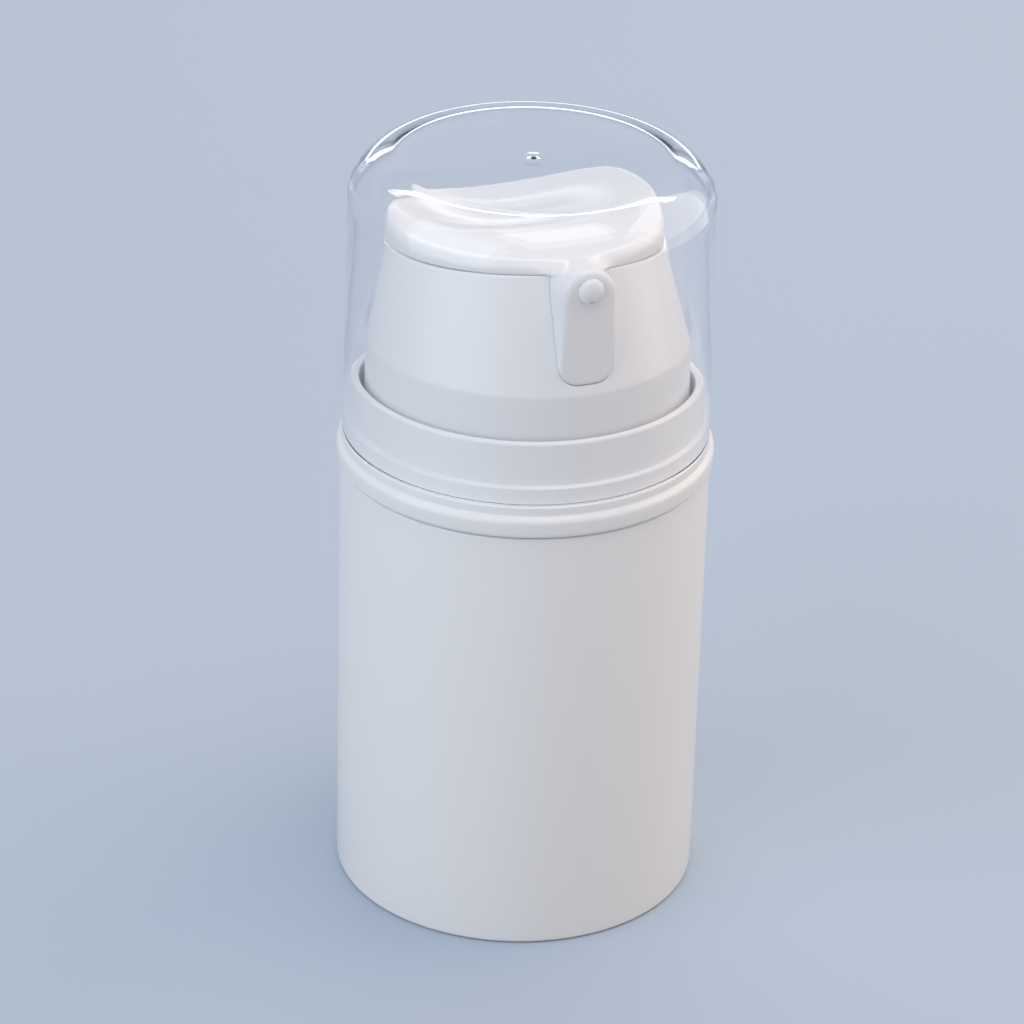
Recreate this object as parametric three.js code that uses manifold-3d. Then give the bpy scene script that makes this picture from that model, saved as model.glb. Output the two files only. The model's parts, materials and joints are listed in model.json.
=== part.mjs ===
// Airless lotion dispenser with a clear overcap, a spouted actuator, a dosing pump and a follower piston.
// Millimetres, +Z up, origin on the table under the bottle's axis, spout towards -Y.
import * as THREE from "three";
import { mergeVertices } from "three/addons/utils/BufferGeometryUtils.js";
import Module from "manifold-3d";

const wasm = await Module();
wasm.setup();

// Fineness of round shapes
const WIDE_SIDES = 48;
const INNER_SIDES = 36;
const NARROW_SIDES = 24;
const ARC_FINENESS = 3;

// Fits shared by several pieces
const SEAT_GAP = 0.05;
const FIT_CLEARANCE = 0.15;
const SNAP_HEIGHT = 0.25;
const END_CLEARANCE = 0.4;
const EDGE_ROUNDING = 0.4;

// Bottle body
const BODY_DIAMETER = 43;
const BODY_HEIGHT = 53.5;
const BODY_WALL = 1.6;
const SHOULDER_THICKNESS = 1.6;
const FOOT_ROUNDING = 0.5;
const NECK_HEIGHT = 5.5;
const NECK_WALL = 1.7;
const NECK_BEAD_SHARE = 0.65;
const SPIGOT_WALL = 1.3;

// Base plug
const PLUG_RECESS = 0.6;
const PLUG_FLANGE = 1.4;
const PLUG_STEP = 0.4;
const PLUG_SPIGOT_HEIGHT = 2.2;
const PLUG_SPIGOT_WALL = 1.2;
const VENT_DIAMETER = 1.6;

// Follower piston
const FOLLOWER_WALL = 1.2;
const FOLLOWER_LIP_HEIGHT = 0.8;
const FOLLOWER_CLEARANCE = 0.1;
const WELL_CLEARANCE = 0.5;

// Collar
const COLLAR_PROUD = 0.4;
const COLLAR_BAND_HEIGHT = 3.75;
const COLLAR_BAND_WALL = 1.4;
const COLLAR_BAND_ROUNDING = 0.7;
const COLLAR_STEP_HEIGHT = 1.05;
const COLLAR_STEP_SLOPE = 0.6;
const COLLAR_LEDGE = 1.1;
const COLLAR_LAND_HEIGHT = 2;
const COLLAR_RING_HEIGHT = 7.35;
const COLLAR_RING_WALL = 0.9;

// Overcap
const CAP_INSET = 0.2;
const CAP_WALL = 1;
const CAP_DRAFT = 0.5;
const CAP_EDGE_RADIUS = 5;
const CAP_INNER_EDGE_RADIUS = 5;
const CAP_TOP_THICKNESS = 1.2;
const CAP_HEADROOM = 5.4;
const CAP_LIFT_GAP = 0.25;
const CAP_LAND_CLEARANCE = 0.1;
const CAP_RING_CLEARANCE = 0.6;

// Actuator
const STROKE = 4.2;
const SKIRT_CLEARANCE = 0.55;
const SKIRT_WALL = 1.1;
const SKIRT_ENGAGEMENT = 4.7;
const BAND_REVEAL = 0.7;
const BAND_ROUNDING = 1.5;
const CONE_HEIGHT = 11.35;
const HOOD_INSET = 2.6;
const HOOD_SETBACK = 2.1;
const HOOD_TILT = 0.115;
const HOOD_LIP = 3.3;
const HOOD_WALL = 1.3;
const SKIRT_LEDGE = 0.25;
const HOOD_EDGE = 0.6;
const HOOD_SPIGOT_DEPTH = 1.8;
const SCOOP_DEPTH = 4.4;
const SCOOP_LENGTH = 18;
const SCOOP_FLAT = 4;
const SCOOP_SPREAD = 0.9;

// Spout and nozzle
const SPOUT_SETBACK = 0.45;
const SPOUT_WIDTH = 6.5;
const SPOUT_HEIGHT = 13.6;
const SPOUT_CORNER = 2.4;
const SPOUT_WALL = 1.3;
const CHANNEL_DIAMETER = 2.2;
const CHANNEL_WALL = 1;
const NOZZLE_RISE = 0.95;
const NOZZLE_DIAMETER = 3;
const NOZZLE_HEIGHT = 0.95;
const NOZZLE_SHANK = 4;
const ORIFICE_DIAMETER = 1;

// Pump housing, turret, gasket and fixing ring
const CHAMBER_DIAMETER = 10.6;
const HOUSING_WALL = 1.1;
const HOUSING_FLANGE = 1.2;
const TOWER_HEIGHT = 5.2;
const TURRET_CAP = 1.5;
const TURRET_PLUG = 2;
const GASKET_THICKNESS = 1;
const GASKET_WIDTH = 2.1;
const FIXING_WALL = 1.3;
const FIXING_LIP = 1.1;
const FIXING_CLEARANCE = 0.6;

// Stem, valve rod and pump piston
const STEM_DIAMETER = 5.8;
const STEM_BORE = 3.2;
const STEM_CLEARANCE = 0.08;
const STEM_SHOULDER_WIDTH = 1.1;
const STEM_SHOULDER_HEIGHT = 1.4;
const STEM_DISC = 1.2;
const STEM_SOCKET_DEPTH = 4.2;
const SOCKET_WALL = 1.4;
const LOST_MOTION = 0.9;
const PISTON_HEIGHT = 3.4;
const PISTON_HUB_WALL = 0.9;
const PISTON_LIP_WALL = 0.6;
const PISTON_LIP_REACH = 0.6;
const PISTON_RELIEF = 0.2;
const VALVE_HEAD_HEIGHT = 1.6;
const VALVE_PORT = 0.6;
const VALVE_BLADE = 1.2;

// Return spring
const SPRING_WIRE = 0.9;
const SPRING_CLEARANCE = 0.45;
const SPRING_TURNS = 6;
const SPRING_MARGIN = 1.6;

// Inlet valve
const BALL_DIAMETER = 4;
const BALL_LIFT = 0.8;
const BALL_CLEARANCE = 0.35;
const INLET_DIAMETER = 3;
const INLET_LENGTH = 1.4;
const RETAINER_THICKNESS = 1.2;
const RETAINER_BAR = 1.2;

// Radii, worked inwards from the bottle's wall
const bodyRadius = BODY_DIAMETER / 2;
const boreRadius = bodyRadius - BODY_WALL;
const recessRadius = boreRadius + PLUG_STEP;
const collarRadius = bodyRadius + COLLAR_PROUD;
const bandInner = collarRadius - COLLAR_BAND_WALL;
const spigotRadius = bandInner - FIT_CLEARANCE;
const spigotInner = spigotRadius - SPIGOT_WALL;
const capMouth = bodyRadius - CAP_INSET;
const capInnerMouth = capMouth - CAP_WALL;
const landRadius = capInnerMouth - CAP_LAND_CLEARANCE;
const ringRadius = capInnerMouth - CAP_RING_CLEARANCE - CAP_DRAFT * 0.3;
const guideRadius = ringRadius - COLLAR_RING_WALL;
const skirtRadius = guideRadius - SKIRT_CLEARANCE;
const skirtInner = skirtRadius - SKIRT_WALL;
const hoodRadius = skirtRadius - HOOD_INSET;
const skirtTopRadius = hoodRadius + SKIRT_LEDGE;
const hoodSpigotRadius = skirtTopRadius - SKIRT_WALL - FIT_CLEARANCE;
const spoutReach = skirtRadius - SPOUT_SETBACK;
const fixingRadius = skirtInner - FIXING_CLEARANCE;
const fixingInner = fixingRadius - FIXING_WALL;
const neckRadius = fixingInner - FIT_CLEARANCE;
const neckBore = neckRadius - NECK_WALL;

// Radii, worked outwards from the stem
const stemRadius = STEM_DIAMETER / 2;
const stemBore = STEM_BORE / 2;
const socketRadius = stemRadius + STEM_CLEARANCE + SOCKET_WALL;
const chamberRadius = CHAMBER_DIAMETER / 2;
const housingRadius = chamberRadius + HOUSING_WALL;
const pistonHub = stemRadius + STEM_CLEARANCE + PISTON_HUB_WALL;
const springInner = housingRadius + SPRING_CLEARANCE;
const springRadius = springInner + SPRING_WIRE / 2;
const springOuter = springInner + SPRING_WIRE;
const wellRadius = housingRadius + WELL_CLEARANCE;
const ballRadius = BALL_DIAMETER / 2;
const inletRadius = INLET_DIAMETER / 2;
const pocketRadius = ballRadius + BALL_CLEARANCE;

// Heights, worked up from the table
const plugSeatZ = PLUG_RECESS + PLUG_FLANGE;
const plugTopZ = plugSeatZ + PLUG_SPIGOT_HEIGHT;
const followerZ = plugTopZ + SEAT_GAP;
const shoulderZ = BODY_HEIGHT;
const ceilingZ = shoulderZ - SHOULDER_THICKNESS;
const collarZ = shoulderZ + FIT_CLEARANCE;
const ledgeZ = collarZ + COLLAR_BAND_HEIGHT;
const ledgeUnderZ = ledgeZ - COLLAR_LEDGE;
const spigotTopZ = ledgeUnderZ - SEAT_GAP;
const capMouthZ = ledgeZ + CAP_LIFT_GAP;
const rimZ = ledgeZ + COLLAR_RING_HEIGHT;
const skirtZ = rimZ - SKIRT_ENGAGEMENT;
const bandTopZ = rimZ + STROKE + BAND_REVEAL;
const partingZ = bandTopZ + CONE_HEIGHT;
const hoodTopZ = partingZ + HOOD_LIP;
const spoutAxisZ = hoodTopZ - SPOUT_WIDTH / 2;
const spoutBottomZ = hoodTopZ - SPOUT_HEIGHT;
const nozzleZ = spoutAxisZ + NOZZLE_RISE;
const capCeilingZ = hoodTopZ + CAP_HEADROOM;
const capTopZ = capCeilingZ + CAP_TOP_THICKNESS;
const neckTopZ = shoulderZ + NECK_HEIGHT;
const gasketZ = neckTopZ + SEAT_GAP;
const flangeZ = gasketZ + GASKET_THICKNESS + SEAT_GAP;
const flangeTopZ = flangeZ + HOUSING_FLANGE;
const fixingLipZ = flangeTopZ + SEAT_GAP;
const towerTopZ = flangeTopZ + TOWER_HEIGHT;
const turretZ = towerTopZ + SEAT_GAP;
const turretTopZ = turretZ + TURRET_CAP;
const turretPlugZ = turretZ - TURRET_PLUG;
const stemShoulderZ = turretPlugZ - SEAT_GAP - STEM_SHOULDER_HEIGHT;
const pistonTopZ = stemShoulderZ - LOST_MOTION;
const pistonZ = pistonTopZ - PISTON_HEIGHT;
const valveTopZ = pistonZ - SEAT_GAP;
const valveZ = valveTopZ - VALVE_HEAD_HEIGHT;
const stemZ = valveTopZ + VALVE_PORT;
const retainerTopZ = valveZ - STROKE - END_CLEARANCE;
const retainerZ = retainerTopZ - RETAINER_THICKNESS;
const chamberFloorZ = retainerZ - SEAT_GAP;
const ballZ = retainerZ - BALL_LIFT - END_CLEARANCE / 2 - ballRadius;
const inletZ = ballZ - SEAT_GAP - Math.sqrt(ballRadius ** 2 - inletRadius ** 2);
const noseZ = inletZ - INLET_LENGTH;
const springZ = flangeTopZ + SEAT_GAP;
const springTopZ = turretTopZ + STROKE + SPRING_MARGIN;
const discZ = springTopZ + SEAT_GAP;
const discTopZ = discZ + STEM_DISC;
const socketZ = discTopZ + SEAT_GAP;
const stemTopZ = discTopZ + STEM_SOCKET_DEPTH;
const wellDepth = ceilingZ - noseZ + WELL_CLEARANCE;
const deckZ = followerZ + FOLLOWER_WALL + wellDepth;
const followerTopZ = deckZ + FOLLOWER_LIP_HEIGHT;

// Corner points [radius, height, rounding], with each rounded corner replaced by an arc that fits its edges
function outline(corners) {
  const points = [];
  corners.forEach(([r, z, rounding = 0], i) => {
    const here = new THREE.Vector2(r, z);
    if (!rounding) {
      points.push(here);
      return;
    }
    const before = new THREE.Vector2(...corners.at(i - 1).slice(0, 2)).sub(here);
    const after = new THREE.Vector2(...corners[(i + 1) % corners.length].slice(0, 2)).sub(here);
    const half = before.angleTo(after) / 2;
    const room = 0.45 * Math.min(before.length(), after.length());
    const radius = Math.min(rounding, room * Math.tan(half));
    before.normalize();
    after.normalize();
    const bisector = before.clone().add(after).normalize();
    const centre = here.clone().addScaledVector(bisector, radius / Math.sin(half));
    const start = before.multiplyScalar(radius / Math.tan(half)).add(here).sub(centre);
    const end = after.multiplyScalar(radius / Math.tan(half)).add(here).sub(centre);
    const turn = Math.atan2(start.cross(end), start.dot(end));
    const steps = Math.ceil(ARC_FINENESS * Math.sqrt(radius));
    for (let k = 0; k <= steps; k++) {
      const swung = start.clone().rotateAround(new THREE.Vector2(), (turn * k) / steps);
      points.push(swung.add(centre));
    }
  });
  return points;
}

// Solid of revolution about Z from corners that run up the outside and down the inside
function turned(corners, sides) {
  const points = outline(corners);
  const onAxis = corners[0][0] === 0;
  const profile = onAxis ? points : [...points, points[0]];
  return new THREE.LatheGeometry(profile, sides).rotateX(Math.PI / 2);
}

function tube(inner, outer, bottom, top, sides) {
  return turned([[inner, bottom], [outer, bottom], [outer, top], [inner, top]], sides);
}

function rod(radius, bottom, top, sides) {
  return turned([[0, bottom], [radius, bottom], [radius, top], [0, top]], sides);
}

function block(width, depth, bottom, top) {
  return new THREE.BoxGeometry(width, depth, top - bottom).translate(0, 0, (bottom + top) / 2);
}

function solid(geometry) {
  const bare = geometry.clone();
  bare.deleteAttribute("normal");
  bare.deleteAttribute("uv");
  const merged = mergeVertices(bare, 1e-4);
  const corners = merged.index.array;
  const kept = [];
  for (let i = 0; i < corners.length; i += 3) {
    const [a, b, c] = corners.slice(i, i + 3);
    if (a !== b && b !== c && c !== a) kept.push(a, b, c);
  }
  const vertProperties = new Float32Array(merged.attributes.position.array);
  const triVerts = new Uint32Array(kept);
  return new wasm.Manifold(new wasm.Mesh({ numProp: 3, vertProperties, triVerts }));
}

function geometryOf(body) {
  const mesh = body.getMesh();
  const geometry = new THREE.BufferGeometry();
  geometry.setAttribute("position", new THREE.BufferAttribute(mesh.vertProperties, 3));
  geometry.setIndex(new THREE.BufferAttribute(mesh.triVerts, 1));
  geometry.computeVertexNormals();
  return geometry;
}

// Snap bead that stands out from a wall at the given radius, as corners from low to high
function bead(radius, z, height) {
  const crest = radius + height;
  const flat = height / 2;
  return [[radius, z - 4 * flat], [crest, z - flat], [crest, z + flat], [radius, z + 4 * flat]];
}

// Radius of the overcap's outside at a height under its rounded edge
function capRadius(z) {
  return capMouth - (CAP_DRAFT * (z - capMouthZ)) / (capTopZ - capMouthZ);
}

function makeOvercap() {
  const top = capRadius(capTopZ);
  return turned(
    [
      [0, capCeilingZ],
      [top - CAP_WALL, capCeilingZ, CAP_INNER_EDGE_RADIUS],
      [capInnerMouth, capMouthZ],
      [capMouth, capMouthZ],
      [top, capTopZ, CAP_EDGE_RADIUS],
      [0, capTopZ],
    ],
    WIDE_SIDES,
  );
}

function makeBody() {
  const spigotBead = (shoulderZ + spigotTopZ) / 2;
  const neckBead = shoulderZ + NECK_HEIGHT * NECK_BEAD_SHARE;
  return turned(
    [
      [recessRadius, 0],
      [bodyRadius, 0, FOOT_ROUNDING],
      [bodyRadius, shoulderZ, FOOT_ROUNDING],
      [spigotRadius, shoulderZ],
      ...bead(spigotRadius, spigotBead, SNAP_HEIGHT),
      [spigotRadius, spigotTopZ],
      [spigotInner, spigotTopZ],
      [spigotInner, shoulderZ],
      [neckRadius, shoulderZ],
      ...bead(neckRadius, neckBead, SNAP_HEIGHT),
      [neckRadius, neckTopZ],
      [neckBore, neckTopZ],
      [neckBore, ceilingZ],
      [boreRadius, ceilingZ],
      [boreRadius, plugSeatZ],
      [recessRadius, plugSeatZ],
    ],
    WIDE_SIDES,
  );
}

function makePlug() {
  const vent = VENT_DIAMETER / 2;
  const outer = boreRadius - FOLLOWER_CLEARANCE;
  const floorZ = plugSeatZ - SEAT_GAP;
  return turned(
    [
      [vent, PLUG_RECESS],
      [recessRadius - FIT_CLEARANCE, PLUG_RECESS, EDGE_ROUNDING],
      [recessRadius - FIT_CLEARANCE, floorZ],
      [outer, floorZ],
      [outer, plugTopZ],
      [outer - PLUG_SPIGOT_WALL, plugTopZ],
      [outer - PLUG_SPIGOT_WALL, floorZ],
      [vent, floorZ],
    ],
    INNER_SIDES,
  );
}

function makeFollower() {
  const lip = boreRadius - FOLLOWER_CLEARANCE;
  const wall = lip - FOLLOWER_CLEARANCE * 4;
  const inner = wall - FOLLOWER_WALL;
  const deckUnderZ = deckZ - FOLLOWER_WALL;
  return turned(
    [
      [0, followerZ],
      [wellRadius + FOLLOWER_WALL, followerZ, EDGE_ROUNDING],
      [wellRadius + FOLLOWER_WALL, deckUnderZ],
      [inner, deckUnderZ],
      [inner, followerZ],
      [lip, followerZ],
      [wall, followerZ + FOLLOWER_LIP_HEIGHT * 2],
      [wall, followerTopZ - FOLLOWER_LIP_HEIGHT * 2],
      [lip, followerTopZ],
      [inner, deckZ],
      [wellRadius, deckZ],
      [wellRadius, followerZ + FOLLOWER_WALL],
      [0, followerZ + FOLLOWER_WALL],
    ],
    INNER_SIDES,
  );
}

function makeCollar() {
  const groove = (shoulderZ + spigotTopZ) / 2;
  return turned(
    [
      [bandInner, collarZ],
      [collarRadius, collarZ, EDGE_ROUNDING],
      [collarRadius, ledgeZ - COLLAR_STEP_HEIGHT - COLLAR_STEP_SLOPE, COLLAR_BAND_ROUNDING],
      [capMouth, ledgeZ - COLLAR_STEP_HEIGHT],
      [capMouth, ledgeZ],
      [landRadius, ledgeZ],
      [landRadius, ledgeZ + COLLAR_LAND_HEIGHT],
      [ringRadius, ledgeZ + COLLAR_LAND_HEIGHT],
      [ringRadius, rimZ, COLLAR_RING_WALL * 0.7],
      [guideRadius, rimZ],
      [guideRadius, ledgeUnderZ],
      [bandInner, ledgeUnderZ],
      ...bead(bandInner, groove, SNAP_HEIGHT).reverse(),
    ],
    WIDE_SIDES,
  );
}

function makeFixingRing() {
  const groove = shoulderZ + NECK_HEIGHT * NECK_BEAD_SHARE;
  const foot = shoulderZ + SNAP_HEIGHT;
  const lipTop = fixingLipZ + FIXING_LIP;
  return turned(
    [
      [fixingInner, foot],
      [fixingRadius, foot],
      [fixingRadius, lipTop, EDGE_ROUNDING],
      [springOuter + SPRING_CLEARANCE, lipTop],
      [springOuter + SPRING_CLEARANCE, fixingLipZ],
      [fixingInner, fixingLipZ],
      ...bead(fixingInner, groove, SNAP_HEIGHT).reverse(),
    ],
    INNER_SIDES,
  );
}

function makeGasket() {
  const outer = neckRadius - FIT_CLEARANCE;
  return tube(outer - GASKET_WIDTH, outer, gasketZ, gasketZ + GASKET_THICKNESS, INNER_SIDES);
}

function makeHousing() {
  const noseRadius = pocketRadius + HOUSING_WALL;
  const floorUnderZ = chamberFloorZ - HOUSING_WALL;
  return turned(
    [
      [inletRadius, noseZ],
      [noseRadius, noseZ, EDGE_ROUNDING],
      [noseRadius, floorUnderZ],
      [housingRadius, floorUnderZ, EDGE_ROUNDING],
      [housingRadius, flangeZ],
      [neckRadius - FIT_CLEARANCE, flangeZ],
      [neckRadius - FIT_CLEARANCE, flangeTopZ],
      [housingRadius, flangeTopZ],
      [housingRadius, towerTopZ],
      [chamberRadius, towerTopZ],
      [chamberRadius, chamberFloorZ],
      [pocketRadius, chamberFloorZ],
      [pocketRadius, inletZ + pocketRadius - inletRadius],
      [inletRadius, inletZ],
    ],
    NARROW_SIDES,
  );
}

function makeTurret() {
  const hole = stemRadius + STEM_CLEARANCE;
  const plug = chamberRadius - SEAT_GAP;
  return turned(
    [
      [hole, turretPlugZ],
      [plug, turretPlugZ],
      [plug, turretZ],
      [housingRadius, turretZ],
      [housingRadius, turretTopZ, EDGE_ROUNDING],
      [hole, turretTopZ],
    ],
    NARROW_SIDES,
  );
}

function makeStem() {
  const shoulder = stemRadius + STEM_SHOULDER_WIDTH;
  const shoulderTop = stemShoulderZ + STEM_SHOULDER_HEIGHT;
  return turned(
    [
      [stemBore, stemZ],
      [stemRadius, stemZ],
      [stemRadius, stemShoulderZ],
      [shoulder, stemShoulderZ],
      [shoulder, shoulderTop],
      [stemRadius, shoulderTop],
      [stemRadius, discZ],
      [springOuter, discZ],
      [springOuter, discTopZ],
      [stemRadius, discTopZ],
      [stemRadius, stemTopZ],
      [stemBore, stemTopZ],
    ],
    NARROW_SIDES,
  );
}

function makeValveRod() {
  const shank = stemBore - SEAT_GAP;
  const head = pistonHub - SEAT_GAP;
  const shankTop = stemShoulderZ + STEM_SHOULDER_HEIGHT;
  const rodBody = solid(
    turned(
      [
        [0, valveZ],
        [head * 0.6, valveZ],
        [head, valveTopZ],
        [shank, valveTopZ],
        [shank, shankTop],
        [0, shankTop],
      ],
      NARROW_SIDES,
    ),
  );
  const offset = VALVE_BLADE / 2 + shank;
  const port = block(2 * shank, 4 * shank, valveTopZ, shankTop + 1);
  const left = solid(port.clone().translate(-offset, 0, 0));
  const right = solid(port.clone().translate(offset, 0, 0));
  return geometryOf(rodBody.subtract(left).subtract(right));
}

function makePiston() {
  const inner = stemRadius + STEM_CLEARANCE;
  const lip = chamberRadius - SEAT_GAP;
  const wall = lip - PISTON_LIP_WALL;
  const low = pistonZ - PISTON_LIP_REACH;
  const high = pistonTopZ + PISTON_LIP_REACH;
  const third = PISTON_HEIGHT / 3;
  return turned(
    [
      [inner, pistonZ],
      [pistonHub, pistonZ],
      [pistonHub, pistonZ + third],
      [wall, pistonZ + third],
      [wall, low],
      [lip, low],
      [lip - PISTON_RELIEF, pistonZ + third],
      [lip - PISTON_RELIEF, pistonTopZ - third],
      [lip, high],
      [wall, high],
      [wall, pistonTopZ - third],
      [pistonHub, pistonTopZ - third],
      [pistonHub, pistonTopZ],
      [inner, pistonTopZ],
    ],
    NARROW_SIDES,
  );
}

// Even helix about Z between two heights
class Coil extends THREE.Curve {
  constructor(radius, bottom, top, turns) {
    super();
    Object.assign(this, { radius, bottom, top, turns });
  }

  getPoint(t, target = new THREE.Vector3()) {
    const angle = 2 * Math.PI * this.turns * t;
    const z = THREE.MathUtils.lerp(this.bottom, this.top, t);
    return target.set(this.radius * Math.cos(angle), this.radius * Math.sin(angle), z);
  }
}

function makeSpring() {
  const half = SPRING_WIRE / 2;
  const steps = 10 * SPRING_TURNS;
  const slack = half * 0.35;
  const coil = new Coil(springRadius, springZ + half + slack, springTopZ - half - slack, SPRING_TURNS);
  const section = new THREE.Shape();
  for (let k = 0; k < 6; k++) {
    const angle = (2 * Math.PI * k) / 6;
    const corner = [half * Math.cos(angle), half * Math.sin(angle)];
    if (k) section.lineTo(...corner);
    else section.moveTo(...corner);
  }
  const points = coil.getPoints(steps);
  let least = Infinity;
  points.forEach((p, i) => {
    points.slice(i + 6).forEach((q) => {
      least = Math.min(least, p.distanceTo(q) - SPRING_WIRE);
    });
  });
  console.log("return_spring least gap to itself " + least.toFixed(2) + " mm");
  return new THREE.ExtrudeGeometry(section, { steps, extrudePath: coil });
}

function makeBall() {
  return new THREE.SphereGeometry(ballRadius, 16, 10).translate(0, 0, ballZ);
}

function makeRetainer() {
  const outer = chamberRadius - 2 * SEAT_GAP;
  const inner = outer - RETAINER_BAR;
  const ring = solid(tube(inner, outer, retainerZ, retainerTopZ, NARROW_SIDES));
  const reach = inner + outer;
  const along = solid(block(reach, RETAINER_BAR, retainerZ, retainerTopZ));
  const across = solid(block(RETAINER_BAR, reach, retainerZ, retainerTopZ));
  return geometryOf(ring.add(along).add(across));
}

// Prism along Y with the spout's outline: round top, rounded lower corners
function spoutPrism(halfWidth, bottom, axis, corner, front, back) {
  const shape = new THREE.Shape();
  shape.moveTo(halfWidth, axis);
  shape.absarc(0, axis, halfWidth, 0, Math.PI, false);
  shape.lineTo(-halfWidth, bottom + corner);
  shape.absarc(corner - halfWidth, bottom + corner, corner, Math.PI, 1.5 * Math.PI, false);
  shape.absarc(halfWidth - corner, bottom + corner, corner, 1.5 * Math.PI, 2 * Math.PI, false);
  shape.closePath();
  const options = { depth: back - front, bevelEnabled: false, curveSegments: 8 };
  const flat = new THREE.ExtrudeGeometry(shape, options);
  return flat.rotateX(Math.PI / 2).translate(0, back, 0);
}

// Leans the skirt's cone back over its height and tilts its upper edge down towards the back
function lean(geometry) {
  const position = geometry.attributes.position;
  for (let i = 0; i < position.count; i++) {
    const share = THREE.MathUtils.clamp((position.getZ(i) - bandTopZ) / CONE_HEIGHT, 0, 1);
    const y = position.getY(i) + HOOD_SETBACK * share;
    position.setY(i, y);
    position.setZ(i, position.getZ(i) - HOOD_TILT * y * share);
  }
  return geometry;
}

function makeSkirt() {
  const innerTop = skirtTopRadius - SKIRT_WALL;
  const shell = turned(
    [
      [skirtInner, skirtZ],
      [skirtRadius, skirtZ, EDGE_ROUNDING],
      [skirtRadius, bandTopZ, BAND_ROUNDING],
      [skirtTopRadius, partingZ],
      [innerTop, partingZ],
      [skirtInner, bandTopZ],
    ],
    WIDE_SIDES,
  );
  const half = SPOUT_WIDTH / 2 + FIT_CLEARANCE * 2;
  const bottom = spoutBottomZ - FIT_CLEARANCE * 2;
  const high = hoodTopZ + HOOD_LIP;
  const slot = spoutPrism(half, bottom, high, SPOUT_CORNER, -bodyRadius, -half);
  return geometryOf(solid(lean(shell)).subtract(solid(slot)));
}

// Height of the parting between hood and skirt, and of the pad's scooped top
function partingAt(y) {
  return partingZ - HOOD_TILT * y;
}

function padAt(x, y) {
  const back = HOOD_SETBACK + hoodRadius;
  const share = THREE.MathUtils.smoothstep(y, back - SCOOP_FLAT - SCOOP_LENGTH, back - SCOOP_FLAT);
  const across = Math.max(0, 1 - (x / (SCOOP_SPREAD * hoodRadius)) ** 2);
  return hoodTopZ - SCOOP_DEPTH * share * across;
}

// Closed slab over a disc about the hood's axis, with rings at the given shares of its radius,
// between two height functions of (x, y, distance)
function slab(radius, shares, low, high) {
  const rings = shares.map((share) => share * radius);
  const vertices = [0, HOOD_SETBACK, low(0, HOOD_SETBACK, 0), 0, HOOD_SETBACK, high(0, HOOD_SETBACK, 0)];
  rings.forEach((ring) => {
    for (let k = 0; k < WIDE_SIDES; k++) {
      const angle = (2 * Math.PI * k) / WIDE_SIDES;
      const x = ring * Math.cos(angle);
      const y = HOOD_SETBACK + ring * Math.sin(angle);
      vertices.push(x, y, low(x, y, ring), x, y, high(x, y, ring));
    }
  });
  const at = (ring, k) => 2 + 2 * (ring * WIDE_SIDES + (k % WIDE_SIDES));
  const faces = [];
  for (let k = 0; k < WIDE_SIDES; k++) {
    faces.push(0, at(0, k + 1), at(0, k));
    faces.push(1, at(0, k) + 1, at(0, k + 1) + 1);
    for (let ring = 1; ring < rings.length; ring++) {
      const [a, b, c, d] = [at(ring - 1, k), at(ring, k), at(ring, k + 1), at(ring - 1, k + 1)];
      faces.push(a, c, b, a, d, c);
      faces.push(a + 1, b + 1, c + 1, a + 1, c + 1, d + 1);
    }
    const [e, f] = [at(rings.length - 1, k), at(rings.length - 1, k + 1)];
    faces.push(e, f, f + 1, e, f + 1, e + 1);
  }
  const geometry = new THREE.BufferGeometry();
  geometry.setAttribute("position", new THREE.Float32BufferAttribute(vertices, 3));
  return geometry.setIndex(faces);
}

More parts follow.
